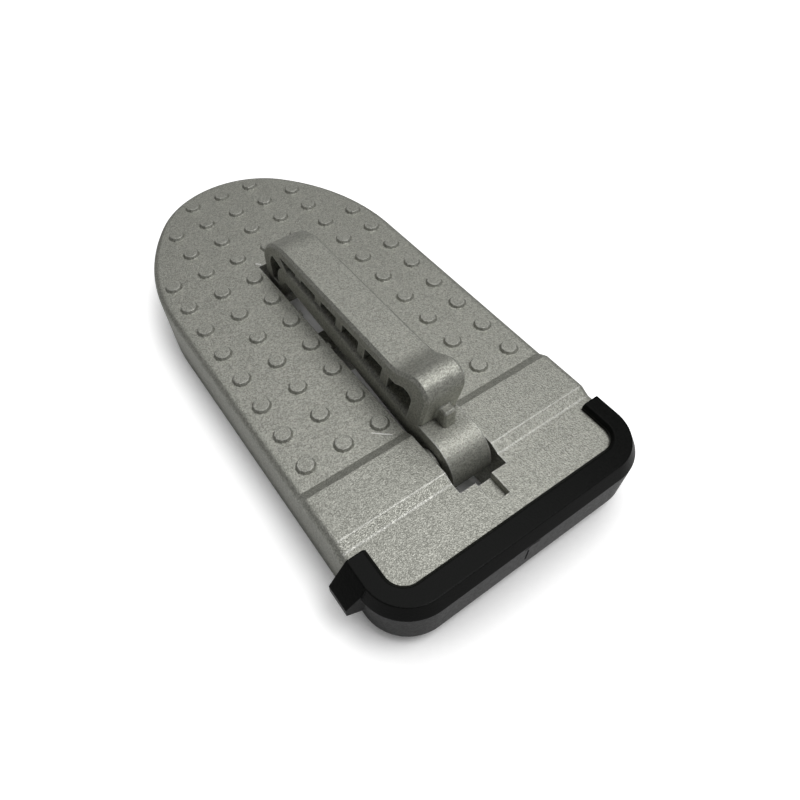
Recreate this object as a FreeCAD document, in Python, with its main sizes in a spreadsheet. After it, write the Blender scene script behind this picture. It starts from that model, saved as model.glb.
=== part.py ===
"""Folding car step: a die-cast step plate, and a hook arm that swings up out of its slot.

Millimetres. X runs from the round nose (-X) to the rubber bumper (+X), Y = 0 is the middle plane of
the slot, and Z is up from the rim that the plate stands on.
"""
import FreeCAD, Part
import math
import os
import Sketcher

# Driving dimensions, one spreadsheet row each
SIZES = {
    # Step plate
    "plate_width": 79.0,
    "plate_height": 19.5,
    "nose_length": 55.3,
    "nose_tip_radius": 30.5,
    "side_length": 95.8,
    "bumper_reach": 20.1,
    "tread_wall": 3.2,
    "skirt_wall": 3.0,
    "edge_round": 2.0,
    "rib_wall": 2.2,
    "rib_pitch": 14.5,
    # Cross ridge over the hinge
    "ridge_rise": 2.8,
    "ridge_crest": 13.5,
    "ridge_slope": 2.7,
    "ridge_height": 1.5,
    "ridge_setback": 2.4,
    # Tread studs
    "stud_base": 5.4,
    "stud_top": 4.4,
    "stud_height": 0.9,
    "stud_pitch_along": 11.5,
    "stud_pitch_across": 11.0,
    "stud_margin": 8.6,
    "stud_edge_gap": 2.0,
    # Slot, its walls and the tie that joins them
    "slot_width": 14.4,
    "slot_wall": 3.0,
    "slot_near_gap": 3.85,
    "slot_far_gap": 3.2,
    "tie_length": 8.6,
    "tie_height": 13.0,
    "tie_offset": -0.7,
    "nub_start": -10.3,
    "nub_pitch": 16.5,
    "nub_length": 2.0,
    "nub_height": 5.0,
    "nub_drop": 0.6,
    "nub_clearance": 0.4,
    # Hinge
    "hinge_setback": 11.5,
    "hinge_drop": 2.9,
    "barrel_radius": 8.4,
    "pin_diameter": 6.0,
    "pin_clearance": 0.05,
    "pin_chamfer": 0.5,
    "boss_width": 10.0,
    "boss_length": 17.0,
    "boss_floor": 5.0,
    "pad_radius": 4.2,
    "pad_clearance": 0.3,
    "access_clearance": 0.3,
    # Hook arm
    "arm_width": 12.0,
    "arm_reach": 86.3,
    "arm_top": 20.1,
    "arm_web": 2.4,
    "flange_wall": 3.5,
    "crown_radius": 18.9,
    "crown_angle": 50.0,
    "brow_radius": 8.5,
    "finger_width": 11.05,
    "finger_round": 2.5,
    "finger_wall": 4.4,
    "throat_radius": 5.0,
    "throat_height": 7.0,
    "throat_depth": 8.2,
    "rim_radius": 9.0,
    "rim_shift": 1.2,
    "bar_depth": 6.8,
    "bar_round": 1.8,
    "brace_wall": 5.05,
    "hollow_radius": 7.0,
    "hollow_angle": 35.0,
    "rim_pocket_angle": 58.0,
    "rim_corner_angle": 76.0,
    "arm_rib": 3.0,
    "arm_rib_pitch": 11.0,
    "arm_rib_lean": 15.0,
    "arm_rib_recess": 1.0,
    "arm_rib_bite": 1.0,
    "first_rib": 66.15,
    "window_wall": 4.6,
    "window_flat": 3.0,
    "window_rise": 2.0,
    "window_corner": 2.0,
    "ramp_radius": 10.0,
    "ramp_angle": 30.0,
    "bump_top": 24.4,
    "bump_radius": 4.5,
    "neck_wall": 5.1,
    "neck_lean": 14.0,
    "arm_edge": 0.8,
    "bump_clearance": 0.1,
    # Stop lug and the notch that takes it
    "lug_lead": 1.6,
    "lug_length": 3.7,
    "lug_width": 3.6,
    "lug_height": 5.7,
    "lug_offset": 0.5,
    "lug_edge": 0.5,
    "notch_width": 5.0,
    "notch_length": 6.7,
    "notch_clearance": 1.2,
    # Rubber bumper
    "bumper_width": 80.8,
    "bumper_corner": 13.0,
    "bumper_lip": 2.0,
    "bumper_chamfer": 1.6,
    "bumper_shoulder": 3.6,
    "bumper_draft": 3.5,
    "bumper_opening": 67.4,
    "bumper_floor": 6.0,
    "bumper_front": 7.4,
    "opening_corner": 5.0,
    "opening_bevel": 0.8,
    "tongue_overlap": 2.6,
    "bumper_clearance": 0.15,
    "tab_base": 8.0,
    "tab_tip": 7.0,
    "tab_reach": 3.6,
    "tab_drop": 7.6,
    "tab_edge": 3.0,
}

STUD_SIDES = 10
CROSS_RIBS = range(-5, 6)
ARM_RIBS = 5
# Lengths closer than this count as equal when edges are picked
TOUCH = 0.001


class Size:
    """A length that knows its value and the sheet expression that gives it."""

    def __init__(self, value, text):
        self.value = value
        self.text = text

    def __add__(self, other):
        other = sized(other)
        return Size(self.value + other.value, f"({self.text} + {other.text})")

    def __sub__(self, other):
        other = sized(other)
        return Size(self.value - other.value, f"({self.text} - {other.text})")

    def __mul__(self, other):
        other = sized(other)
        return Size(self.value * other.value, f"({self.text} * {other.text})")

    def __truediv__(self, other):
        other = sized(other)
        return Size(self.value / other.value, f"({self.text} / {other.text})")

    def __neg__(self):
        return Size(-self.value, f"(0 - {self.text})")


def sized(number):
    """Plain numbers take part in Size sums."""
    return number if isinstance(number, Size) else Size(float(number), repr(float(number)))


def root(size):
    return Size(math.sqrt(size.value), f"sqrt({size.text})")


def sine(size):
    return Size(math.sin(math.radians(size.value)), f"sin({size.text} * 1 deg)")


def cosine(size):
    return Size(math.cos(math.radians(size.value)), f"cos({size.text} * 1 deg)")


def tangent(size):
    return Size(math.tan(math.radians(size.value)), f"tan({size.text} * 1 deg)")


class Sheet:
    """The spreadsheet; its aliases read as attributes that are Sizes."""

    def __init__(self, doc, sizes):
        self.cells = doc.addObject("Spreadsheet::Sheet", "Sizes")
        for row, (alias, value) in enumerate(sizes.items(), start=1):
            self.cells.set(f"A{row}", alias)
            self.cells.set(f"B{row}", str(value))
            self.cells.setAlias(f"B{row}", alias)
            setattr(self, alias, Size(value, f"Sizes.{alias}"))


def bind(target, prop, size):
    target.setExpression(prop, sized(size).text)


def origin_plane(body, role):
    return next(item for item in body.Origin.OriginFeatures if item.Role == role)


def new_sketch(body, name, role, offset=None):
    sketch = body.newObject("Sketcher::SketchObject", name)
    sketch.AttachmentSupport = [(origin_plane(body, role), "")]
    sketch.MapMode = "FlatFace"
    if offset is not None:
        bind(sketch, "AttachmentOffset.Base.z", offset)
    return sketch


def pin_point(sketch, edge, end, across, up):
    """Hold one end of an edge at a point given by two Sizes."""
    for kind, size in (("DistanceX", across), ("DistanceY", up)):
        size = sized(size)
        index = sketch.addConstraint(Sketcher.Constraint(kind, edge, end, size.value))
        sketch.setExpression(f"Constraints[{index}]", size.text)


def arc_between(start, end, radius, turn):
    """The short arc from start to end; turn is 1 for a left-hand bend, -1 for a right-hand one."""
    chord = end - start
    middle = (start + end) * 0.5
    rise = math.sqrt(max(radius * radius - chord.Length ** 2 / 4.0, 0.0))
    normal = FreeCAD.Vector(-chord.y, chord.x, 0).normalize()
    centre = middle + normal * (rise * turn)
    first, last = (start, end) if turn > 0 else (end, start)
    circle = Part.Circle(centre, FreeCAD.Vector(0, 0, 1), radius)
    angles = [math.atan2(point.y - centre.y, point.x - centre.x) for point in (first, last)]
    return Part.ArcOfCircle(circle, *angles)


def draw_loop(sketch, corners):
    """A closed loop. A corner is (across, up), or (across, up, radius, turn) where an arc leaves it."""
    edges = []
    for index, corner in enumerate(corners):
        following = corners[(index + 1) % len(corners)]
        start = FreeCAD.Vector(sized(corner[0]).value, sized(corner[1]).value, 0)
        end = FreeCAD.Vector(sized(following[0]).value, sized(following[1]).value, 0)
        if len(corner) == 2:
            edges.append((sketch.addGeometry(Part.LineSegment(start, end)), 1, 2))
            continue
        radius, turn = sized(corner[2]), corner[3]
        edge = sketch.addGeometry(arc_between(start, end, radius.value, turn))
        edges.append((edge, 1, 2) if turn > 0 else (edge, 2, 1))
        index_of = sketch.addConstraint(Sketcher.Constraint("Radius", edge, radius.value))
        sketch.setExpression(f"Constraints[{index_of}]", radius.text)
    for index, (edge, first, last) in enumerate(edges):
        next_edge, next_first, next_last = edges[(index + 1) % len(edges)]
        sketch.addConstraint(Sketcher.Constraint("Coincident", edge, last, next_edge, next_first))
        pin_point(sketch, edge, first, *corners[index][:2])


def draw_box(sketch, left, right, low, high):
    draw_loop(sketch, [(left, low), (right, low), (right, high), (left, high)])


def draw_circle(sketch, across, up, diameter):
    centre = FreeCAD.Vector(sized(across).value, sized(up).value, 0)
    circle = Part.Circle(centre, FreeCAD.Vector(0, 0, 1), diameter.value / 2.0)
    edge = sketch.addGeometry(circle)
    index = sketch.addConstraint(Sketcher.Constraint("Diameter", edge, diameter.value))
    sketch.setExpression(f"Constraints[{index}]", diameter.text)
    pin_point(sketch, edge, 3, across, up)


def extrude(body, kind, name, sketch, length, side="One side", reverse=False):
    """A Pad or Pocket of the sketch."""
    feature = body.newObject(f"PartDesign::{kind}", name)
    feature.Profile = sketch
    feature.SideType = side
    feature.Reversed = reverse
    bind(feature, "Length", length)
    sketch.Visibility = False
    return feature


def near(a, b):
    return abs(a - b) < TOUCH


def dress_edges(body, kind, name, test, size):
    """A Fillet or Chamfer on the edges of the body's last feature whose bounding boxes pass the test."""
    body.Document.recompute()
    last = body.Tip
    edges = [f"Edge{n}" for n, edge in enumerate(last.Shape.Edges, start=1) if test(edge.BoundBox)]
    feature = body.newObject(f"PartDesign::{kind}", name)
    feature.Base = (last, edges)
    bind(feature, "Radius" if kind == "Fillet" else "Size", size)


class Layout:
    """Places that more than one piece is built from."""

    def __init__(self, d):
        self.half_length = (d.nose_length + d.side_length + d.bumper_reach) / 2
        self.nose_start = d.nose_length - self.half_length
        self.shoulder = self.half_length - d.bumper_reach
        self.slope_foot = self.shoulder - d.ridge_setback
        self.crest_end = self.slope_foot - d.ridge_slope
        self.crest_start = self.crest_end - d.ridge_crest
        self.rise_foot = self.crest_start - d.ridge_rise
        self.crest_level = d.plate_height + d.ridge_height
        self.hinge_x = self.shoulder - d.hinge_setback
        self.hinge_z = d.plate_height - d.hinge_drop
        self.slot_far = self.hinge_x - d.arm_reach - d.slot_far_gap
        self.slot_near = self.hinge_x + d.barrel_radius + d.slot_near_gap
        self.half_width = d.plate_width / 2
        self.half_slot = d.slot_width / 2
        self.half_arm = d.arm_width / 2
        self.boss_face = self.half_slot + d.boss_width
        self.opening_half = d.bumper_opening / 2
        self.opening_front = self.half_length - d.bumper_front
        self.tongue_half = self.opening_half + d.tongue_overlap
        self.tongue_front = self.opening_front + d.tongue_overlap
        self.tongue_corner = d.opening_corner + d.tongue_overlap
        self.tongue_floor = d.bumper_floor + d.bumper_lip
        self.bore = d.pin_diameter + d.pin_clearance * 2


class Nose:
    """The round nose as three tangent arcs: a tip arc between two flank arcs."""

    def __init__(self, d, at, inset=0):
        self.start = at.nose_start
        self.half = at.half_width - inset
        self.tip = d.nose_tip_radius - inset
        reach = d.nose_length - inset
        self.tip_x = self.start - reach + self.tip
        bulge = reach * reach - reach * self.tip * 2 + self.half * self.half
        self.flank = bulge / ((self.half - self.tip) * 2)
        self.join_x = self.start - (reach - self.tip) * self.flank / (self.flank - self.tip)
        self.join_y = (self.flank - self.half) * self.tip / (self.flank - self.tip)

    def corners(self):
        """From the +Y side round to the -Y side, seen from above."""
        return [
            (self.start, self.half, self.flank, 1),
            (self.join_x, self.join_y, self.tip, 1),
            (self.join_x, -self.join_y, self.flank, 1),
            (self.start, -self.half),
        ]

    def half_width_at(self, x):
        """Half the width at a place along the plate."""
        if x.value > self.start.value:
            return self.half
        if x.value < self.join_x.value:
            run = x - self.tip_x
            return root(self.tip * self.tip - run * run)
        run = x - self.start
        return root(self.flank * self.flank - run * run) - (self.flank - self.half)


def near_end_corners(start, half, front, corner):
    """A square end with two round corners, from the -Y side to the +Y side."""
    return [
        (start, -half),
        (front - corner, -half, corner, 1),
        (front, corner - half),
        (front, half - corner, corner, 1),
        (front - corner, half),
        (start, half),
    ]


def plate_outline(d, at, inset=0):
    tongue = near_end_corners(
        at.shoulder - inset, at.tongue_half - inset, at.tongue_front - inset, at.tongue_corner - inset
    )
    shoulder, side = at.shoulder - inset, at.half_width - inset
    return Nose(d, at, inset).corners() + [(shoulder, -side)] + tongue + [(shoulder, side)]


def plate_casting(body, d, at):
    """The outside: outline, tread level and cross ridge, with rounded top edges."""
    outline = new_sketch(body, "plate_outline", "XY_Plane")
    draw_loop(outline, plate_outline(d, at))
    extrude(body, "Pad", "plate_block", outline, at.crest_level)
    above = at.crest_level + d.ridge_height
    far, beyond = -at.half_length - d.edge_round, at.half_length + d.edge_round
    tread = new_sketch(body, "tread_profile", "XZ_Plane")
    draw_loop(tread, [
        (far, d.plate_height),
        (at.rise_foot, d.plate_height),
        (at.crest_start, at.crest_level),
        (at.crest_start, above),
        (far, above),
    ])
    draw_loop(tread, [
        (at.crest_end, at.crest_level),
        (at.slope_foot, d.plate_height),
        (beyond, d.plate_height),
        (beyond, above),
        (at.crest_end, above),
    ])
    extrude(body, "Pocket", "tread_cut", tread, d.plate_width + d.edge_round * 2, "Symmetric")
    level, foot, side = d.plate_height.value, at.rise_foot.value, at.half_width.value

    def on_top_rim(box):
        on_nose = box.XMax < foot + TOUCH and box.XLength > TOUCH
        on_side = near(abs(box.YMin), side) and box.YLength < TOUCH
        return box.ZMin > level - TOUCH and (on_nose or on_side)

    dress_edges(body, "Fillet", "tread_rim", on_top_rim, d.edge_round)


def plate_underside(body, d, at):
    """The hollow, its cross ribs, the slot's walls, the hinge bosses and the block under the notch."""
    hollow = new_sketch(body, "hollow_outline", "XY_Plane")
    draw_loop(hollow, plate_outline(d, at, d.skirt_wall))
    under_tread = d.plate_height - d.tread_wall
    extrude(body, "Pocket", "hollow", hollow, under_tread, reverse=True)
    nose = Nose(d, at)
    ribs = new_sketch(body, "cross_ribs", "XY_Plane")
    bite = d.skirt_wall / 2
    for count in CROSS_RIBS:
        middle = d.rib_pitch * count
        half = nose.half_width_at(middle) if middle.value < at.shoulder.value else at.tongue_half
        end = half - bite
        draw_box(ribs, middle - d.rib_wall / 2, middle + d.rib_wall / 2, -end, end)
    end = at.half_width - bite
    draw_box(ribs, at.shoulder - d.skirt_wall, at.shoulder, -end, end)
    into_tread = under_tread + d.tread_wall / 2
    extrude(body, "Pad", "rib_pad", ribs, into_tread)
    walls = new_sketch(body, "slot_walls", "XY_Plane")
    wall_half = at.half_slot + d.slot_wall
    draw_box(walls, at.slot_far - d.slot_wall, at.slot_near + d.slot_wall, -wall_half, wall_half)
    extrude(body, "Pad", "slot_block", walls, into_tread)
    bosses = new_sketch(body, "hinge_bosses", "XY_Plane", d.boss_floor)
    half_boss = d.boss_length / 2
    draw_box(bosses, at.hinge_x - half_boss, at.hinge_x + half_boss, -at.boss_face, at.half_width - bite)
    extrude(body, "Pad", "boss_block", bosses, into_tread - d.boss_floor)
    stop = new_sketch(body, "stop_block_outline", "XY_Plane", d.boss_floor)
    stop_half = d.notch_width / 2 + d.slot_wall
    draw_box(stop, at.slot_near, at.slot_near + d.notch_length + d.slot_wall, -stop_half, stop_half)
    extrude(body, "Pad", "stop_block", stop, into_tread - d.boss_floor)


def plate_openings(body, d, at):
    """The slot and the tie across it, thrust pads, hinge bore, stop notch and bumper seat."""
    through = at.crest_level + d.ridge_height
    slot = new_sketch(body, "slot_outline", "XY_Plane")
    draw_box(slot, at.slot_far, at.slot_near, -at.half_slot, at.half_slot)
    extrude(body, "Pocket", "slot", slot, through, reverse=True)
    tie = new_sketch(body, "tie_outline", "XY_Plane")
    tie_half = at.half_slot + d.slot_wall / 2
    half_tie = d.tie_length / 2
    draw_box(tie, d.tie_offset - half_tie, d.tie_offset + half_tie, -tie_half, tie_half)
    extrude(body, "Pad", "slot_tie", tie, d.tie_height)
    nubs = new_sketch(body, "nub_outlines", "XY_Plane", d.plate_height - d.nub_drop)
    half_nub = d.nub_length / 2
    nub_face = at.half_arm + d.nub_clearance
    for middle in (d.nub_start, d.nub_start + d.nub_pitch):
        draw_box(nubs, middle - half_nub, middle + half_nub, -tie_half, -nub_face)
    extrude(body, "Pad", "slot_nubs", nubs, d.nub_height, reverse=True)
    pad_face = at.half_arm + d.pad_clearance
    for name, offset, reverse in (("left", pad_face, False), ("right", -pad_face, True)):
        thrust = new_sketch(body, f"{name}_thrust_circle", "XZ_Plane", offset)
        draw_circle(thrust, at.hinge_x, at.hinge_z, d.pad_radius * 2)
        height = at.half_slot - pad_face + d.slot_wall / 2
        extrude(body, "Pad", f"{name}_thrust_pad", thrust, height, reverse=reverse)
    bore = new_sketch(body, "hinge_bore_circle", "XZ_Plane")
    draw_circle(bore, at.hinge_x, at.hinge_z, at.bore)
    extrude(body, "Pocket", "hinge_bore", bore, at.boss_face * 2, "Symmetric")
    access = new_sketch(body, "access_circle", "XZ_Plane", -at.boss_face)
    draw_circle(access, at.hinge_x, at.hinge_z, d.pin_diameter + d.access_clearance * 2)
    extrude(body, "Pocket", "access_hole", access, at.half_width)
    notch = new_sketch(body, "notch_outline", "XY_Plane", at.hinge_z + d.lug_lead - d.notch_clearance)
    half_notch = d.notch_width / 2
    draw_box(notch, at.slot_near - d.notch_length, at.slot_near + d.notch_length, -half_notch, half_notch)
    extrude(body, "Pocket", "stop_notch", notch, at.crest_level, reverse=True)
    seat = new_sketch(body, "seat_outline", "XY_Plane")
    draw_box(seat, at.shoulder, at.half_length, -at.half_width, at.half_width)
    extrude(body, "Pocket", "bumper_seat", seat, at.tongue_floor, reverse=True)


def draw_stud(sketch, d, along, across):
    """The many-sided foot of one stud."""
    corners = []
    radius = d.stud_base / 2
    for side in range(STUD_SIDES):
        angle = 2 * math.pi * side / STUD_SIDES
        corners.append((along + radius * math.cos(angle), across + radius * math.sin(angle)))
    draw_loop(sketch, corners)


def stud_rows(d, at, column):
    """Where a column's studs stand: inside the nose, short of the ridge and clear of the slot."""
    nose = Nose(d, at)
    half_stud = d.stud_base.value / 2
    reach = d.stud_pitch_across.value * column + half_stud + d.stud_edge_gap.value
    limit = at.rise_foot.value if column else at.slot_far.value
    rows = []
    along = d.stud_margin - at.half_length
    while along.value + half_stud < limit:
        if reach <= nose.half_width_at(along).value:
            rows.append(along)
        along = along + d.stud_pitch_along
    return rows


def plate_studs(body, d, at):
    """Tapered studs in columns that start with the nose and leave the slot clear."""
    column = 0
    rows = stud_rows(d, at, column)
    while rows:
        studs = new_sketch(body, f"stud_outline_{column}", "XY_Plane", d.plate_height)
        across = d.stud_pitch_across * column
        draw_stud(studs, d, rows[0], across)
        if column:
            draw_stud(studs, d, rows[0], -across)
        pad = extrude(body, "Pad", f"stud_{column}", studs, d.stud_height)
        taper = f"-atan(({d.stud_base.text} - {d.stud_top.text}) / 2 / {d.stud_height.text})"
        pad.setExpression("TaperAngle", taper)
        pad.Refine = False
        line = body.newObject("PartDesign::LinearPattern", f"stud_column_{column}")
        line.Originals = [pad]
        line.Direction = (origin_plane(body, "X_Axis"), [""])
        line.Occurrences = len(rows)
        line.Refine = False
        bind(line, "Length", d.stud_pitch_along * (len(rows) - 1))
        body.Tip = line
        column += 1
        rows = stud_rows(d, at, column)


def make_step_plate(doc, d, at):
    body = doc.addObject("PartDesign::Body", "step_plate")
    plate_casting(body, d, at)
    plate_underside(body, d, at)
    plate_openings(body, d, at)
    plate_studs(body, d, at)
    return body


class ArmShape:
    """Points of the arm's side view, counted from the hinge axis."""

    def __init__(self, d):
        self.d = d
        self.brow_x = d.brow_radius - d.arm_reach
        self.hollow_x = d.finger_wall - d.arm_reach
        lift = d.brow_radius - d.crown_radius
        self.brow_z = d.arm_top - d.crown_radius - lift * cosine(d.crown_angle)
        self.crown_x = self.brow_x - lift * sine(d.crown_angle)
        self.tip_z = d.throat_height - d.throat_depth
        self.finger_near = d.finger_width - d.arm_reach
        self.throat_x = self.finger_near + d.throat_radius
        self.bar_slope = d.throat_height / (self.throat_x + d.barrel_radius)
        steepness = root(self.bar_slope * self.bar_slope + 1)
        self.rim_x = self.throat_x + d.rim_shift
        self.rim_z = self.bar_top(self.rim_x) - d.rim_radius * steepness
        self.bar_start_x = self.rim_x - d.rim_radius * self.bar_slope / steepness
        self.pocket_top = d.arm_top - d.flange_wall
        self.bump_x = -(d.hinge_drop + d.bump_clearance + d.bump_radius)
        self.bump_z = d.bump_top - d.bump_radius
        self.ramp_top = self.on_bump(d.ramp_angle + 90)
        self.ramp_foot_z = d.arm_top + d.ramp_radius - d.ramp_radius * cosine(d.ramp_angle)
        self.ramp_foot_x = self.ramp_top[0] - (self.ramp_top[1] - self.ramp_foot_z) / tangent(d.ramp_angle)
        self.ramp_start = self.ramp_foot_x - d.ramp_radius * sine(d.ramp_angle)
        self.neck_top = self.on_bump(-d.neck_lean)

    def on_bump(self, angle):
        radius = self.d.bump_radius
        return (self.bump_x + radius * cosine(angle), self.bump_z + radius * sine(angle))

    def on_rim(self, angle):
        """A point on the throat's outer rim; the angle is counted up from the far side."""
        radius = self.d.rim_radius
        return (self.rim_x - radius * cosine(angle), self.rim_z + radius * sine(angle))

    def crown_end(self):
        """Where the crown's arc runs into the brow's."""
        d = self.d
        drop = d.brow_radius * cosine(d.crown_angle)
        return (self.brow_x - d.brow_radius * sine(d.crown_angle), self.brow_z + drop)

    def hollow_top(self):
        """The upper corner of the finger's hollow, beside the brace."""
        d = self.d
        lean_in = d.hollow_radius - d.hollow_radius * sine(d.hollow_angle)
        return (self.hollow_x + lean_in, self.brow_z + d.hollow_radius * cosine(d.hollow_angle))

    def neck_wall_at(self, z):
        """X of the neck's near wall at a height."""
        return self.neck_top[0] - (self.neck_top[1] - z) * tangent(self.d.neck_lean)

    def bar_top(self, x):
        """Height of the lower bar's upper edge."""
        return self.bar_slope * (x + self.d.barrel_radius) + self.d.bar_depth

    def on_bar(self, x, z, lean):
        """Where a line that leaves (x, z) downwards, leaning to the far side, meets the lower bar."""
        slant = tangent(lean)
        level = self.bar_slope * self.d.barrel_radius + self.d.bar_depth
        foot = (x - slant * (z - level)) / (sized(1) - slant * self.bar_slope)
        return (foot, self.bar_top(foot))

    def outline(self):
        d = self.d
        low, rounding, barrel = self.tip_z, d.finger_round, d.barrel_radius
        return [
            (self.ramp_start, d.arm_top),
            (self.crown_x, d.arm_top, d.crown_radius, 1),
            (*self.crown_end(), d.brow_radius, 1),
            (-d.arm_reach, self.brow_z),
            (-d.arm_reach, low + rounding, rounding, 1),
            (rounding - d.arm_reach, low),
            (self.finger_near - rounding, low, rounding, 1),
            (self.finger_near, low + rounding),
            (self.finger_near, d.throat_height - d.throat_radius, d.throat_radius, -1),
            (self.throat_x, d.throat_height),
            (-barrel, 0, barrel, 1),
            (0, -barrel, barrel, 1),
            (barrel, 0, barrel, 1),
            (0, barrel),
            (self.neck_wall_at(barrel), barrel),
            (*self.neck_top, d.bump_radius, 1),
            self.ramp_top,
            (self.ramp_foot_x, self.ramp_foot_z, d.ramp_radius, -1),
        ]

    def finger_pocket(self):
        d = self.d
        right = self.rim_x - d.rim_radius
        floor = self.tip_z + d.finger_wall
        return [
            (*self.hollow_top(), d.hollow_radius, 1),
            (self.hollow_x, self.brow_z),
            (self.hollow_x, floor),
            (right, floor),
            (right, self.rim_z, d.rim_radius, -1),
            self.on_rim(d.rim_pocket_angle),
        ]

    def cavity(self):
        """The long hollow between flange and bar, from the brace to the neck."""
        d = self.d
        ceiling = d.arm_top - d.window_wall
        crown = ceiling + d.window_rise
        corner = d.window_corner
        step = self.rib_start(ARM_RIBS - 1) + d.arm_rib / 2
        flat_end = self.ramp_start + d.window_flat
        wall_top = self.neck_wall_at(crown) - d.neck_wall
        return [
            (step, self.pocket_top),
            (self.hollow_top()[0] + d.brace_wall, self.pocket_top),
            (*self.on_rim(d.rim_corner_angle), d.rim_radius, -1),
            (self.bar_start_x, self.bar_top(self.bar_start_x)),
            self.on_bar(wall_top, crown, d.neck_lean),
            (self.neck_wall_at(crown - corner) - d.neck_wall, crown - corner, corner, 1),
            (wall_top - corner, crown),
            (flat_end + d.window_rise / tangent(d.ramp_angle), crown),
            (flat_end, ceiling),
            (step, ceiling),
        ]

    def rib_start(self, count):
        return self.d.arm_rib_pitch * count - self.d.first_rib

    def rib(self, count):
        """A leaning rib that bites into the flange above it and the bar below."""
        d = self.d
        left = self.rib_start(count)
        right = left + d.arm_rib
        slant = tangent(d.arm_rib_lean) * d.arm_rib_bite
        foot_left = self.on_bar(left, self.pocket_top, d.arm_rib_lean)
        foot_right = self.on_bar(right, self.pocket_top, d.arm_rib_lean)
        return [
            (right + slant, self.pocket_top + d.arm_rib_bite),
            (left + slant, self.pocket_top + d.arm_rib_bite),
            (foot_left[0] - slant, foot_left[1] - d.arm_rib_bite),
            (foot_right[0] - slant, foot_right[1] - d.arm_rib_bite),
        ]


def make_hook_arm(doc, d, at):
    body = doc.addObject("PartDesign::Body", "hook_arm")
    bind(body, "Placement.Base.x", at.hinge_x)
    bind(body, "Placement.Base.z", at.hinge_z)
    shape = ArmShape(d)
    outline = new_sketch(body, "arm_outline", "XZ_Plane")
    draw_loop(outline, shape.outline())
    extrude(body, "Pad", "arm_blank", outline, d.arm_width, "Symmetric")
    bar_level, throat_end = d.barrel_radius.value + TOUCH, shape.throat_x.value + TOUCH

    def from_neck_to_throat(box):
        return box.YLength < TOUCH and (box.ZMax > bar_level or box.XMax < throat_end)

    dress_edges(body, "Chamfer", "arm_rim", from_neck_to_throat, d.arm_edge)
    hollows = new_sketch(body, "hollow_outlines", "XZ_Plane", at.half_arm)
    draw_loop(hollows, shape.finger_pocket())
    draw_loop(hollows, shape.cavity())
    left = extrude(body, "Pocket", "left_hollows", hollows, at.half_arm - d.arm_web / 2)
    right = body.newObject("PartDesign::Mirrored", "right_hollows")
    right.Originals = [left]
    right.MirrorPlane = (origin_plane(body, "XZ_Plane"), [""])
    body.Tip = right
    bar_start, arm_side = shape.bar_start_x.value, at.half_arm.value

    def on_bar_top(box):
        return near(abs(box.YMin), arm_side) and box.YLength < TOUCH and near(box.XMin, bar_start)

    dress_edges(body, "Fillet", "bar_rim", on_bar_top, d.bar_round)
    ribs = new_sketch(body, "rib_outlines", "XZ_Plane")
    for count in range(ARM_RIBS):
        draw_loop(ribs, shape.rib(count))
    extrude(body, "Pad", "arm_ribs", ribs, d.arm_width - d.arm_rib_recess * 2, "Symmetric")
    lug = new_sketch(body, "lug_outline", "XY_Plane", d.barrel_radius / 2)
    half_lug = d.lug_width / 2
    left_side, right_side = d.lug_offset - half_lug, d.lug_offset + half_lug
    draw_box(lug, -d.lug_lead - d.lug_length, -d.lug_lead, left_side, right_side)
    extrude(body, "Pad", "stop_lug", lug, d.barrel_radius / 2 + d.lug_height)
    lug_top, lug_back = (d.barrel_radius + d.lug_height).value, shape.neck_wall_at(d.barrel_radius).value

    def on_lug(box):
        return near(box.ZMax, lug_top) and box.XMax > lug_back and box.YMax < right_side.value + TOUCH

    dress_edges(body, "Chamfer", "lug_rim", on_lug, d.lug_edge)
    bore = new_sketch(body, "barrel_bore_circle", "XZ_Plane")
    draw_circle(bore, 0, 0, at.bore)
    extrude(body, "Pocket", "barrel_bore", bore, d.arm_width, "Symmetric")
    return body


def make_hinge_pin(doc, d, at):
    body = doc.addObject("PartDesign::Body", "hinge_pin")
    bind(body, "Placement.Base.x", at.hinge_x)
    bind(body, "Placement.Base.z", at.hinge_z)
    circle = new_sketch(body, "pin_circle", "XZ_Plane")
    draw_circle(circle, 0, 0, d.pin_diameter)
    extrude(body, "Pad", "pin_rod", circle, at.boss_face * 2, "Symmetric")
    dress_edges(body, "Chamfer", "pin_ends", lambda box: box.YLength < TOUCH, d.pin_chamfer)
    return body


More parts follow.
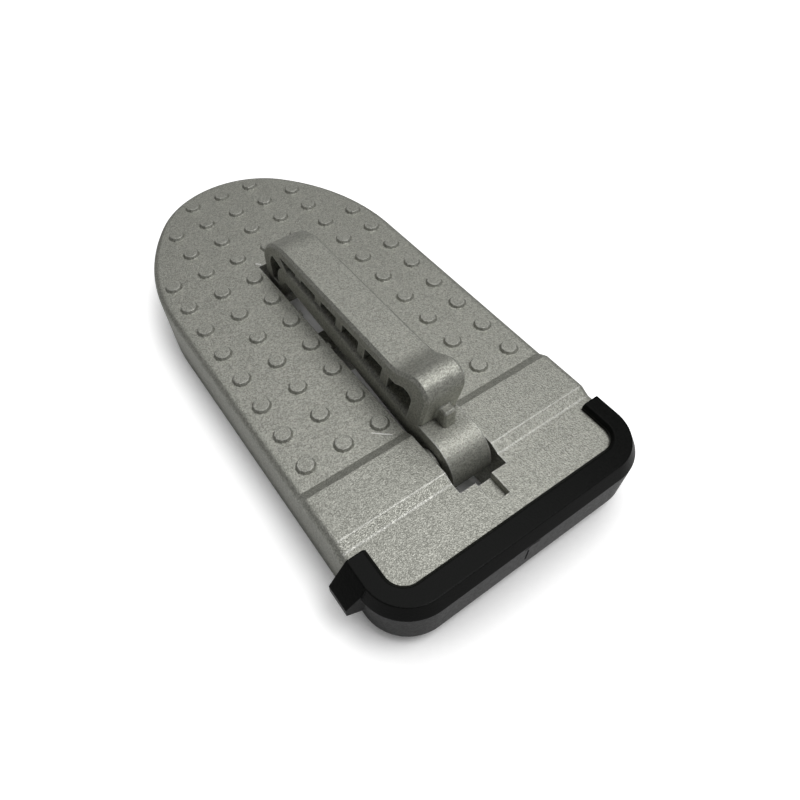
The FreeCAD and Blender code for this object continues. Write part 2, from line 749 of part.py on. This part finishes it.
def make_end_bumper(doc, d, at):
    body = doc.addObject("PartDesign::Body", "end_bumper")
    half = d.bumper_width / 2
    top = d.plate_height + d.bumper_lip
    start = at.shoulder - d.bumper_corner
    widest = top - d.bumper_shoulder
    depth = widest - d.bumper_floor
    for name, height, reverse in (("upper", d.bumper_shoulder, False), ("lower", depth, True)):
        outline = new_sketch(body, f"{name}_outline", "XY_Plane", widest)
        draw_loop(outline, near_end_corners(start, half, at.half_length, d.bumper_corner))
        pad = extrude(body, "Pad", f"{name}_wall", outline, height, reverse=reverse)
        chamfer = f"-atan({d.bumper_chamfer.text} / {d.bumper_shoulder.text})"
        pad.setExpression("TaperAngle", f"-{d.bumper_draft.text}" if reverse else chamfer)
    seat = new_sketch(body, "tongue_seat_outline", "XY_Plane", at.tongue_floor)
    gap = d.bumper_clearance
    seat_half, seat_front = at.tongue_half + gap, at.tongue_front + gap
    draw_loop(seat, near_end_corners(start, seat_half, seat_front, at.tongue_corner + gap))
    extrude(body, "Pocket", "tongue_seat", seat, d.plate_height - at.tongue_floor, reverse=True)
    opening = new_sketch(body, "opening_outline", "XY_Plane")
    draw_loop(opening, near_end_corners(start, at.opening_half, at.opening_front, d.opening_corner))
    extrude(body, "Pocket", "opening", opening, top, reverse=True)
    trim = new_sketch(body, "trim_outline", "XY_Plane")
    draw_box(trim, start - d.bumper_lip, at.shoulder, -d.bumper_width, d.bumper_width)
    extrude(body, "Pocket", "end_trim", trim, top, reverse=True)
    inside, front, far = at.opening_half.value, at.opening_front.value, at.shoulder.value

    def on_opening(box):
        across = max(abs(box.YMin), abs(box.YMax)) < inside + TOUCH
        return near(box.ZMin, top.value) and across and far + TOUCH < box.XMax < front + TOUCH

    dress_edges(body, "Chamfer", "opening_rim", on_opening, d.opening_bevel)
    root_y, edge_y = d.bumper_chamfer - half, -(half + d.tab_reach)
    tab_floor = d.plate_height - d.tab_drop
    tab = new_sketch(body, "tab_outline", "XY_Plane", tab_floor)
    draw_loop(tab, [
        (at.shoulder, root_y),
        (at.shoulder, edge_y),
        (at.shoulder + d.tab_tip, edge_y),
        (at.shoulder + d.tab_base, -half),
        (at.shoulder + d.tab_base, root_y),
    ])
    extrude(body, "Pad", "tab_block", tab, top - tab_floor)
    slope = new_sketch(body, "tab_slope", "YZ_Plane")
    outside, above = edge_y - d.bumper_lip, top + d.bumper_lip
    draw_loop(slope, [
        (root_y, top),
        (edge_y, tab_floor + d.tab_edge),
        (outside, tab_floor + d.tab_edge),
        (outside, above),
        (root_y, above),
    ])
    extrude(body, "Pocket", "tab_top", slope, at.half_length, reverse=True)
    return body


def check(doc, pieces):
    """Every feature has recomputed, and every piece is one sound solid."""
    for item in doc.Objects:
        if {"Invalid", "Error"} & set(item.State):
            raise RuntimeError(f"{item.Label} did not recompute: {item.State}")
    for piece in pieces:
        shape = piece.Shape
        if shape.isNull() or not shape.isValid() or len(shape.Solids) != 1:
            raise RuntimeError(f"{piece.Label} is not one sound solid")


def main():
    doc = FreeCAD.newDocument("folding_car_step")
    d = Sheet(doc, SIZES)
    doc.recompute()
    at = Layout(d)
    pieces = [make(doc, d, at) for make in (make_step_plate, make_hook_arm, make_hinge_pin, make_end_bumper)]
    doc.recompute()
    check(doc, pieces)
    os.makedirs("parts", exist_ok=True)
    for piece in pieces:
        piece.Shape.exportStep(os.path.join("parts", f"{piece.Label}.step"))


main()
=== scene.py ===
"""Finish and stage for a folding car step: cast plate and hook arm, steel hinge pin, rubber end bumper.

Metres. The pieces are the frame's own nodes, and this file gives them their materials and sets the stage.
"""

import bpy
from bpy.props import FloatProperty, FloatVectorProperty, PointerProperty
from mathutils import Matrix, Vector


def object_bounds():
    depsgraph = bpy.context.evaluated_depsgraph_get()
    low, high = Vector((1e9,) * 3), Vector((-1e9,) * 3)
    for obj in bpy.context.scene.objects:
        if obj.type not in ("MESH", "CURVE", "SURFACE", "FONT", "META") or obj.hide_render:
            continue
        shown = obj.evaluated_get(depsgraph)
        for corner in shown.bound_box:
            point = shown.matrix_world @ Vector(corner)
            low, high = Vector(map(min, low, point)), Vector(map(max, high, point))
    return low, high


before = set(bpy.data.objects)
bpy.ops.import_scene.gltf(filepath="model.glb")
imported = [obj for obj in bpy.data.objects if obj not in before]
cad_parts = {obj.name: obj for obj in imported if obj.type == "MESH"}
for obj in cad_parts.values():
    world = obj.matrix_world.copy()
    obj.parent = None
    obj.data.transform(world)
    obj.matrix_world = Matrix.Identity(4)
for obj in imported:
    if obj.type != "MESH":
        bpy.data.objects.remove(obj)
CAD_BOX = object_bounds()

bl_info = {
    "name": "Folding Car Step Finish",
    "version": (1, 0, 0),
    "blender": (4, 5, 0),
    "location": "View3D > Sidebar > Car Step",
    "description": "Gives the folding car step its cast, steel and rubber finishes and sets its stage",
    "category": "Object",
}

# Marks are straight strokes, each with its start, end and width
TREAD_TOP = 0.0195
RIDGE_TOP = 0.0210
# A scuffed spot beside the arm, and a painted highlight at the slot's far end
PLATE_SCUFF_AND_GLINT = (
    ((0.0394, -0.0143, TREAD_TOP), (0.0428, -0.0105, TREAD_TOP), 0.0003),
    ((-0.0372, -0.0072, TREAD_TOP), (-0.0362, -0.0062, TREAD_TOP), 0.0005),
)
# Painted highlights along the upper and lower edges of the cross ridge's near slope, right across the plate
HIGHLIGHT_REACH = 0.0380
RIDGE_HIGHLIGHTS = tuple(
    ((along, -HIGHLIGHT_REACH, height), (along, HIGHLIGHT_REACH, height), width)
    for along, height, width in ((0.0604, RIDGE_TOP, 0.0004), (0.0631, TREAD_TOP, 0.0006))
)
# A hooked crack in the bumper's front
CRACK_WIDTH = 0.0006
BUMPER_CRACKS = (
    ((0.08555, -0.0034, 0.0170), (0.08557, -0.0016, 0.0176), CRACK_WIDTH),
    ((0.08557, -0.0016, 0.0176), (0.08556, 0.0006, 0.0171), CRACK_WIDTH),
    ((0.08544, -0.0023, 0.0153), (0.08510, -0.0020, 0.0097), CRACK_WIDTH),
)
# Size of the breaks along a stroke's edge
BREAK_SIZE = 0.0006

# Strength of each effect, where 1 covers what lies under it
# Painted shade: how strongly the inner corners are darkened
CORNER_SHADE_STRENGTH = 0.6
# Painted highlight: how strongly the outer edges are lightened
EDGE_HIGHLIGHT_STRENGTH = 0.5
# Also the painted highlight at the slot's far end
SCUFF_AND_GLINT_STRENGTH = 1.0
# Painted highlight: how strongly the ridge's slope edges are lightened
RIDGE_HIGHLIGHT_STRENGTH = 0.3
DUST_STRENGTH = 0.3

# Surfaces: roughness goes from the dark to the light end of each skin's tone
CASTING_METALLIC = 0.7
CASTING_ROUGHNESS = (0.54, 0.46)
CASTING_RELIEF = 0.5
RUBBER_SPECULAR = 0.1
RUBBER_ROUGHNESS = (0.28, 0.36)
RUBBER_RELIEF = 1.0
RELIEF_DEPTH = 0.0001
# Height of the rubber's texture as a share of a crack's depth
TEXTURE_SHARE = 0.1
STEEL_DARK = (0.42, 0.42, 0.43)
STEEL_LIGHT = (0.6, 0.6, 0.61)
STEEL_ROUGHNESS = (0.24, 0.36)
# Width of the pin's drawing lines, and the scale that draws them out along it
LINE_WIDTH = 0.0004
LINE_SCALE = (1.0, 0.05, 1.0)

# Shares of pits, patches and single grains in a skin's tone, and how many pits a patch is across
PIT_SHARE = 0.5
PATCH_SHARE = 0.1
SPECKLE_SHARE = 0.4
PATCH_PITS = 6.0
PIT_DETAIL = 1.0
NOISE_DETAIL = 2.0

# Stretches of a value that are spread over the whole range from 0 to 1
WHOLE_SPAN = (0.0, 1.0)
PIT_SPAN = (0.3, 0.7)
TONE_SPAN = (0.27, 0.73)
LINE_SPAN = (0.3, 0.7)
CORNER_SPAN = (0.35, 0.85)
EDGE_SPAN = (0.5, 0.95)
STROKE_SPAN = (0.75, 1.25)
RISING = (0.0, 1.0)
FALLING = (1.0, 0.0)
# Rays that feel for a nearby edge or corner
FEELER_RAYS = 6

# Stage
WHITE = (1.0, 1.0, 1.0)
BLACK = (0.0, 0.0, 0.0)
OPAQUE = 1.0
FLOOR_SIZE = 6.0
FLOOR_ROUGHNESS = 0.9
# Keeps the floor from sharing a plane with the plate's rim
FLOOR_GAP = 0.00005
OVERHEAD_PLACE = (-0.05, 0.18, 0.7)
OVERHEAD_SIZE = (1.2, 0.5)
SIDE_PLACE = (0.28, 0.12, 0.75)
SIDE_SIZE = (0.3, 0.3)
LIGHT_TARGET = (0.0, 0.0, 0.02)
# Millimetres, as Blender gives a camera's sensor
SENSOR_WIDTH = 36.0
NEAR_CLIP = 0.005


class CastingFinish(bpy.types.PropertyGroup):
    """Shot-blasted die-cast aluminium of the plate and the arm"""

    colour: FloatVectorProperty(
        name="Casting Colour", description="Colour of the blasted skin", subtype="COLOR", size=3,
        min=0, max=1, default=(0.535, 0.538, 0.483))
    shade: FloatVectorProperty(
        name="Pit Colour", description="Colour down in the blasted pits", subtype="COLOR", size=3,
        min=0, max=1, default=(0.3, 0.301, 0.267))
    # Painted shade colour for the inner corners
    corner_shade: FloatVectorProperty(
        name="Corner Shade Colour", description="Colour of the shade painted into the inner corners", subtype="COLOR", size=3,
        min=0, max=1, default=(0.07, 0.07, 0.055))
    # Also the colour of the painted highlights on edges, on the ridge and at the slot's far end
    scuff_and_highlight: FloatVectorProperty(
        name="Scuff and Highlight Colour", description="Colour of bare scuffed metal and of the painted highlights", subtype="COLOR", size=3,
        min=0, max=1, default=(0.86, 0.86, 0.83))
    grain: FloatProperty(
        name="Grain Size", description="Size of the blasted pits", unit="LENGTH",
        min=0.0001, default=0.00034)
    soft: FloatProperty(
        name="Edge Softness", description="Radius that edges seem rounded by", unit="LENGTH",
        min=0, default=0.0004)
    corner: FloatProperty(
        name="Corner Reach", description="How far the painted shade reaches out of a corner", unit="LENGTH",
        min=0, default=0.0009)
    edge: FloatProperty(
        name="Edge Reach", description="How far the painted highlight reaches in from an edge", unit="LENGTH",
        min=0, default=0.0005)


class RubberFinish(bpy.types.PropertyGroup):
    """Moulded rubber of the end bumper"""

    colour: FloatVectorProperty(
        name="Rubber Colour", description="Colour of the clean rubber", subtype="COLOR", size=3,
        min=0, max=1, default=(0.0025, 0.003, 0.0025))
    dust: FloatVectorProperty(
        name="Dust Colour", description="Colour of the fine dust on it", subtype="COLOR", size=3,
        min=0, max=1, default=(0.008, 0.008, 0.0075))
    crack: FloatVectorProperty(
        name="Crack Colour", description="Colour down in a crack", subtype="COLOR", size=3,
        min=0, max=1, default=(0.001, 0.001, 0.001))
    grain: FloatProperty(
        name="Grain Size", description="Size of the mould's texture", unit="LENGTH",
        min=0.0001, default=0.0005)
    soft: FloatProperty(
        name="Edge Softness", description="Radius that edges seem rounded by", unit="LENGTH",
        min=0, default=0.0005)


class StageSetup(bpy.types.PropertyGroup):
    """Camera, lights and floor"""

    eye: FloatVectorProperty(
        name="Camera Place", description="Where the camera stands", subtype="TRANSLATION", unit="LENGTH",
        size=3, default=(0.1218, -0.0615, 0.1537))
    forward: FloatVectorProperty(
        name="Camera Direction", description="The way the camera looks", subtype="DIRECTION",
        size=3, default=(-0.5097, 0.3469, -0.7873))
    upward: FloatVectorProperty(
        name="Camera Up", description="The camera's upper side", subtype="DIRECTION",
        size=3, default=(-0.6337, 0.4676, 0.6163))
    lens: FloatProperty(
        name="Lens", description="Focal length in millimetres on a 36 mm sensor", min=1, default=28.97)
    floor: FloatVectorProperty(
        name="Floor Colour", description="Colour of the pale floor", subtype="COLOR", size=3,
        min=0, max=1, default=(0.85, 0.85, 0.85))
    floor_lift: FloatProperty(
        name="Floor Lift", description="How much paler the floor shows than it lights", min=0, default=0.7)
    shade_reach: FloatProperty(
        name="Shade Reach", description="How near the part the floor shows its shade", unit="LENGTH",
        min=0, default=0.035)
    key: FloatProperty(
        name="Key Power", description="Power of the overhead softbox", unit="POWER", min=0, default=2.65)
    side: FloatProperty(
        name="Side Power", description="Power of the side softbox", unit="POWER", min=0, default=2.2)
    air: FloatProperty(
        name="Air", description="Strength of the light from all round", min=0, default=0.07)
    backdrop: FloatProperty(
        name="Backdrop", description="How pale the backdrop shows", min=0, default=0.75)


class CarStepSettings(bpy.types.PropertyGroup):
    """Everything a user would change"""

    casting: PointerProperty(type=CastingFinish)
    rubber: PointerProperty(type=RubberFinish)
    stage: PointerProperty(type=StageSetup)


def add(tree, kind, **settings):
    """A node with its properties set."""
    node = tree.nodes.new(kind)
    for name, value in settings.items():
        setattr(node, name, value)
    return node


def feed(tree, socket, value):
    """Link or set one input."""
    if isinstance(value, bpy.types.NodeSocket):
        tree.links.new(value, socket)
    else:
        socket.default_value = value


def feed_in_order(tree, node, values):
    """Link or set a node's first inputs."""
    for socket, value in zip(node.inputs, values):
        feed(tree, socket, value)


def calculate(tree, operation, first, second, clamp=False):
    """A Math node fed by sockets or numbers; returns its output."""
    node = add(tree, "ShaderNodeMath", operation=operation, use_clamp=clamp)
    feed_in_order(tree, node, (first, second))
    return node.outputs["Value"]


def calculate_vector(tree, operation, first, second, output="Vector"):
    """A Vector Math node fed by two vectors; returns the named output."""
    node = add(tree, "ShaderNodeVectorMath", operation=operation)
    feed_in_order(tree, node, (first, second))
    return node.outputs[output]


def scale_vector(tree, vector, factor):
    """A vector times a value; returns the vector."""
    node = add(tree, "ShaderNodeVectorMath", operation="SCALE")
    feed(tree, node.inputs["Vector"], vector)
    feed(tree, node.inputs["Scale"], factor)
    return node.outputs["Vector"]


def stretch(tree, value, span, ends=RISING):
    """A value spread smoothly from one span to another; returns its output."""
    node = add(tree, "ShaderNodeMapRange", interpolation_type="SMOOTHSTEP")
    feed_in_order(tree, node, (value, *span, *ends))
    return node.outputs["Result"]


def colour_socket(sockets, name):
    """The colour socket of that name, among sockets that share it."""
    return next(socket for socket in sockets if socket.name == name and socket.type == "RGBA")


def mix(tree, factor, first, second):
    """A colour mix fed by sockets or colours; returns its output."""
    node = add(tree, "ShaderNodeMix", data_type="RGBA")
    feed(tree, node.inputs["Factor"], factor)
    for name, colour in (("A", first), ("B", second)):
        given = colour if isinstance(colour, bpy.types.NodeSocket) else (*colour, OPAQUE)
        feed(tree, colour_socket(node.inputs, name), given)
    return colour_socket(node.outputs, "Result")


def sized_texture(tree, kind, vector, size):
    """A texture node whose features are about size across."""
    node = add(tree, kind)
    feed(tree, node.inputs["Vector"], vector)
    feed(tree, node.inputs["Scale"], calculate(tree, "DIVIDE", 1.0, size))
    return node


def noise(tree, vector, size, detail=NOISE_DETAIL):
    """Soft patches; returns their value."""
    node = sized_texture(tree, "ShaderNodeTexNoise", vector, size)
    node.inputs["Detail"].default_value = detail
    return node.outputs["Fac"]


def speckle(tree, vector, size):
    """Grains that each have a tone of their own; returns the tone."""
    return sized_texture(tree, "ShaderNodeTexVoronoi", vector, size).outputs["Color"]


def new_group(name, inputs, outputs):
    """An empty shader group, as (group, its inputs, its outputs); both are lists of label and kind."""
    group = bpy.data.node_groups.new(name, "ShaderNodeTree")
    for direction, sockets in (("INPUT", inputs), ("OUTPUT", outputs)):
        for label, kind in sockets:
            group.interface.new_socket(label, in_out=direction, socket_type=f"NodeSocket{kind}")
    return group, add(group, "NodeGroupInput").outputs, add(group, "NodeGroupOutput").inputs


def blasted_grain_group(name):
    """Pits of a blasted or textured skin, and the tone of its pits, patches and grains."""
    group, given, result = new_group(
        name, [("Vector", "Vector"), ("Grain Size", "Float")], [("Height", "Float"), ("Tone", "Float")])
    vector, grain = given["Vector"], given["Grain Size"]
    pits = noise(group, vector, grain, PIT_DETAIL)
    patches = noise(group, vector, calculate(group, "MULTIPLY", grain, PATCH_PITS))
    pit_part = calculate(group, "MULTIPLY", pits, PIT_SHARE)
    patch_part = calculate(group, "MULTIPLY", patches, PATCH_SHARE)
    speckle_part = calculate(group, "MULTIPLY", speckle(group, vector, grain), SPECKLE_SHARE)
    tone = calculate(group, "ADD", calculate(group, "ADD", pit_part, patch_part), speckle_part)
    feed(group, result["Height"], stretch(group, pits, PIT_SPAN))
    feed(group, result["Tone"], stretch(group, tone, TONE_SPAN))
    return group


def soft_edges_group(name):
    """A normal that rounds edges off."""
    group, given, result = new_group(name, [("Radius", "Float")], [("Normal", "Vector")])
    bevel = add(group, "ShaderNodeBevel", samples=FEELER_RAYS)
    feed(group, bevel.inputs["Radius"], given["Radius"])
    feed(group, result["Normal"], bevel.outputs["Normal"])
    return group


def crowding_group(name, span, inside):
    """A mask of what has other faces near it, in front or on the inside of its own face."""
    group, given, result = new_group(name, [("Reach", "Float")], [("Mask", "Float")])
    feeler = add(group, "ShaderNodeAmbientOcclusion", samples=FEELER_RAYS, inside=inside)
    feed(group, feeler.inputs["Distance"], given["Reach"])
    feed(group, result["Mask"], stretch(group, feeler.outputs["AO"], span, FALLING))
    return group


def corner_shade_group(name):
    """A mask of the inner corners, where shade falls; the castings take their painted shade from it."""
    return crowding_group(name, CORNER_SPAN, inside=False)


def edge_highlight_group(name):
    """A mask of the outer edges, which the castings lighten as a painted highlight."""
    return crowding_group(name, EDGE_SPAN, inside=True)


def stroke_mark_group(name):
    """A mask of one straight stroke between two points, with broken edges."""
    group, given, result = new_group(
        name,
        [("Vector", "Vector"), ("Start", "Vector"), ("End", "Vector"), ("Width", "Float"),
         ("Break Size", "Float")],
        [("Mask", "Float")])
    along = calculate_vector(group, "SUBTRACT", given["End"], given["Start"])
    away = calculate_vector(group, "SUBTRACT", given["Vector"], given["Start"])
    reach = calculate_vector(group, "DOT_PRODUCT", away, along, "Value")
    whole = calculate_vector(group, "DOT_PRODUCT", along, along, "Value")
    nearest = scale_vector(group, along, calculate(group, "DIVIDE", reach, whole, clamp=True))
    gap = calculate_vector(group, "DISTANCE", away, nearest, "Value")
    share = calculate(group, "DIVIDE", gap, given["Width"])
    ragged = calculate(group, "ADD", share, noise(group, given["Vector"], given["Break Size"]))
    feed(group, result["Mask"], stretch(group, ragged, STROKE_SPAN, FALLING))
    return group


GROUP_MAKERS = {
    "Blasted Grain": blasted_grain_group,
    "Soft Edges": soft_edges_group,
    "Corner Shade": corner_shade_group,
    "Edge Highlight": edge_highlight_group,
    "Stroke Mark": stroke_mark_group,
}


def place_group(tree, name, values):
    """A shared group, built the first time it is asked for, with its own values; returns its outputs."""
    group = bpy.data.node_groups.get(name) or GROUP_MAKERS[name](name)
    node = add(tree, "ShaderNodeGroup", node_tree=group)
    for label, value in values.items():
        feed(tree, node.inputs[label], value)
    return node.outputs


def new_material(name):
    """A material, as (material, tree, the inputs of its Principled BSDF)."""
    material = bpy.data.materials.new(name)
    material.use_nodes = True
    tree = material.node_tree
    shader = next(node for node in tree.nodes if node.type == "BSDF_PRINCIPLED")
    return material, tree, shader.inputs


def piece_place(tree):
    """The place on a piece, which moves with it."""
    return add(tree, "ShaderNodeTexCoord").outputs["Object"]


def relief(tree, height, strength, soft):
    """Bump over softened edges; returns the normal."""
    node = add(tree, "ShaderNodeBump")
    feed(tree, node.inputs["Strength"], strength)
    feed(tree, node.inputs["Distance"], RELIEF_DEPTH)
    feed(tree, node.inputs["Height"], height)
    feed(tree, node.inputs["Normal"], place_group(tree, "Soft Edges", {"Radius": soft})["Normal"])
    return node.outputs["Normal"]


def strokes_mask(tree, place, strokes):
    """One mask for several straight marks."""
    whole = None
    for start, end, width in strokes:
        values = {"Vector": place, "Start": start, "End": end, "Width": width, "Break Size": BREAK_SIZE}
        mask = place_group(tree, "Stroke Mark", values)["Mask"]
        whole = calculate(tree, "MAXIMUM", whole, mask) if whole else mask
    return whole


def casting_material(name, finish, scuff_and_glint=(), highlight_strokes=()):
    """Blasted casting, with painted shade in its inner corners and painted highlights on its outer edges,
    and with scuffed bare metal and painted highlight strokes where the piece has them.
    """
    material, tree, surface = new_material(name)
    place = piece_place(tree)
    skin = place_group(tree, "Blasted Grain", {"Vector": place, "Grain Size": finish.grain})
    corner_shade = place_group(tree, "Corner Shade", {"Reach": finish.corner})
    edge_highlight = place_group(tree, "Edge Highlight", {"Reach": finish.edge})
    colour = mix(tree, skin["Tone"], finish.shade, finish.colour)
    # Painted shade: the inner corners darkened towards the corner colour
    colour = mix(tree, calculate(tree, "MULTIPLY", corner_shade["Mask"], CORNER_SHADE_STRENGTH), colour, finish.corner_shade)
    # Painted highlight: the outer edges lightened towards the bare metal colour
    colour = mix(tree, calculate(tree, "MULTIPLY", edge_highlight["Mask"], EDGE_HIGHLIGHT_STRENGTH), colour, finish.scuff_and_highlight)
    # Marks lightened towards the bare metal colour: a scuffed spot, and painted highlights
    for strokes, strength in ((scuff_and_glint, SCUFF_AND_GLINT_STRENGTH), (highlight_strokes, RIDGE_HIGHLIGHT_STRENGTH)):
        if strokes:
            mark = calculate(tree, "MULTIPLY", strokes_mask(tree, place, strokes), strength)
            colour = mix(tree, mark, colour, finish.scuff_and_highlight)
    feed(tree, surface["Base Color"], colour)
    feed(tree, surface["Metallic"], CASTING_METALLIC)
    feed(tree, surface["Roughness"], stretch(tree, skin["Tone"], WHOLE_SPAN, CASTING_ROUGHNESS))
    feed(tree, surface["Normal"], relief(tree, skin["Height"], CASTING_RELIEF, finish.soft))
    return material


def rubber_material(name, finish, cracks):
    """Dusty moulded rubber, matt and sunken in its cracks."""
    material, tree, surface = new_material(name)
    place = piece_place(tree)
    skin = place_group(tree, "Blasted Grain", {"Vector": place, "Grain Size": finish.grain})
    dust = calculate(tree, "MULTIPLY", skin["Tone"], DUST_STRENGTH)
    dusty = mix(tree, dust, finish.colour, finish.dust)
    crack = strokes_mask(tree, place, cracks)
    smooth = stretch(tree, skin["Tone"], WHOLE_SPAN, RUBBER_ROUGHNESS)
    texture = calculate(tree, "MULTIPLY", skin["Height"], TEXTURE_SHARE)
    sunken = calculate(tree, "SUBTRACT", texture, crack)
    feed(tree, surface["Base Color"], mix(tree, crack, dusty, finish.crack))
    feed(tree, surface["Specular IOR Level"], RUBBER_SPECULAR)
    feed(tree, surface["Roughness"], calculate(tree, "MAXIMUM", smooth, crack))
    feed(tree, surface["Normal"], relief(tree, sunken, RUBBER_RELIEF, finish.soft))
    return material


def steel_material(name):
    """Bright drawn steel, with fine lines along the pin."""
    material, tree, surface = new_material(name)
    drawn = add(tree, "ShaderNodeMapping")
    feed(tree, drawn.inputs["Vector"], piece_place(tree))
    feed(tree, drawn.inputs["Scale"], LINE_SCALE)
    lines = noise(tree, drawn.outputs["Vector"], LINE_WIDTH)
    feed(tree, surface["Base Color"], mix(tree, lines, STEEL_DARK, STEEL_LIGHT))
    feed(tree, surface["Metallic"], 1.0)
    feed(tree, surface["Roughness"], stretch(tree, lines, LINE_SPAN, STEEL_ROUGHNESS))
    return material


def dress(node, material):
    """Give a CAD node its finish."""
    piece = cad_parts[node]
    piece.data.materials.clear()
    piece.data.materials.append(material)


class CARSTEP_OT_castings(bpy.types.Operator):
    """Finish the step plate and the hook arm as blasted castings"""

    bl_idname = "carstep.castings"
    bl_label = "Finish Castings"

    def execute(self, context):
        finish = context.scene.car_step.casting
        dress("step_plate", casting_material("Plate Casting", finish, PLATE_SCUFF_AND_GLINT, RIDGE_HIGHLIGHTS))
        dress("hook_arm", casting_material("Arm Casting", finish))
        return {"FINISHED"}


class CARSTEP_OT_pin(bpy.types.Operator):
    """Finish the hinge pin as drawn steel"""

    bl_idname = "carstep.pin"
    bl_label = "Finish Hinge Pin"

    def execute(self, context):
        dress("hinge_pin", steel_material("Pin Steel"))
        return {"FINISHED"}


class CARSTEP_OT_bumper(bpy.types.Operator):
    """Finish the end bumper as moulded rubber"""

    bl_idname = "carstep.bumper"
    bl_label = "Finish End Bumper"

    def execute(self, context):
        finish = context.scene.car_step.rubber
        dress("end_bumper", rubber_material("Bumper Rubber", finish, BUMPER_CRACKS))
        return {"FINISHED"}


def floor_material(setup):
    """Matt and pale, and lifted to white for the eye alone wherever the part doesn't shade it."""
    material, tree, surface = new_material("Pale Floor")
    under = place_group(tree, "Corner Shade", {"Reach": setup.shade_reach})
    seen = add(tree, "ShaderNodeLightPath").outputs["Is Camera Ray"]
    feed(tree, surface["Base Color"], (*setup.floor, OPAQUE))
    feed(tree, surface["Roughness"], FLOOR_ROUGHNESS)
    feed(tree, surface["Emission Color"], mix(tree, under["Mask"], WHITE, BLACK))
    feed(tree, surface["Emission Strength"], calculate(tree, "MULTIPLY", seen, setup.floor_lift))
    return material


def lay_floor(setup):
    """A wide plain floor just under the part."""
    bpy.ops.mesh.primitive_plane_add(size=FLOOR_SIZE, location=(0, 0, CAD_BOX[0].z - FLOOR_GAP))
    floor = bpy.context.object
    floor.name = "pale_floor"
    floor.data.materials.append(floor_material(setup))


def soft_light(scene, name, place, size, power):
    """An oblong area light that faces the part, with its length along X."""
    lamp = bpy.data.lights.new(name, "AREA")
    lamp.shape = "RECTANGLE"
    lamp.size, lamp.size_y = size
    lamp.energy = power
    holder = bpy.data.objects.new(name, lamp)
    scene.collection.objects.link(holder)
    holder.location = place
    holder.rotation_euler = (Vector(LIGHT_TARGET) - Vector(place)).to_track_quat("-Z", "Y").to_euler()


def light_the_air(scene, setup):
    """Dim white light from all round, which shows as a pale backdrop."""
    world = bpy.data.worlds.new("Studio")
    world.use_nodes = True
    tree = world.node_tree
    air = tree.nodes["Background"]
    seen = add(tree, "ShaderNodeLightPath").outputs["Is Camera Ray"]
    feed(tree, air.inputs["Color"], (*WHITE, OPAQUE))
    feed(tree, air.inputs["Strength"], stretch(tree, seen, WHOLE_SPAN, (setup.air, setup.backdrop)))
    scene.world = world


def place_camera(scene, setup):
    """The camera at the photograph's angle."""
    lens = bpy.data.cameras.new("photo_camera")
    lens.lens = setup.lens
    lens.sensor_width = SENSOR_WIDTH
    lens.clip_start = NEAR_CLIP
    camera = bpy.data.objects.new("photo_camera", lens)
    scene.collection.objects.link(camera)
    back = -Vector(setup.forward).normalized()
    right = Vector(setup.upward).cross(back).normalized()
    turn = Matrix((right, back.cross(right), back)).transposed().to_4x4()
    camera.matrix_world = Matrix.Translation(setup.eye) @ turn
    scene.camera = camera


class CARSTEP_OT_stage(bpy.types.Operator):
    """Set the floor, the soft lights and the camera"""

    bl_idname = "carstep.stage"
    bl_label = "Set Stage"

    def execute(self, context):
        scene = context.scene
        setup = scene.car_step.stage
        lay_floor(setup)
        soft_light(scene, "overhead_softbox", OVERHEAD_PLACE, OVERHEAD_SIZE, setup.key)
        soft_light(scene, "side_softbox", SIDE_PLACE, SIDE_SIZE, setup.side)
        light_the_air(scene, setup)
        place_camera(scene, setup)
        scene.view_settings.view_transform = "Standard"
        return {"FINISHED"}


OPERATORS = (CARSTEP_OT_castings, CARSTEP_OT_pin, CARSTEP_OT_bumper, CARSTEP_OT_stage)


class CARSTEP_PT_panel(bpy.types.Panel):
    """The car step's finishes and stage"""

    bl_idname = "CARSTEP_PT_panel"
    bl_label = "Folding Car Step"
    bl_space_type = "VIEW_3D"
    bl_region_type = "UI"
    bl_category = "Car Step"

    def draw(self, context):
        for operator in OPERATORS:
            self.layout.operator(operator.bl_idname)


CLASSES = (CastingFinish, RubberFinish, StageSetup, CarStepSettings, *OPERATORS, CARSTEP_PT_panel)


def register():
    for item in CLASSES:
        bpy.utils.register_class(item)
    bpy.types.Scene.car_step = PointerProperty(type=CarStepSettings)


def unregister():
    del bpy.types.Scene.car_step
    for item in reversed(CLASSES):
        bpy.utils.unregister_class(item)


def main():
    register()
    bpy.ops.carstep.castings()
    bpy.ops.carstep.pin()
    bpy.ops.carstep.bumper()
    bpy.ops.carstep.stage()


if __name__ == "__main__":
    main()
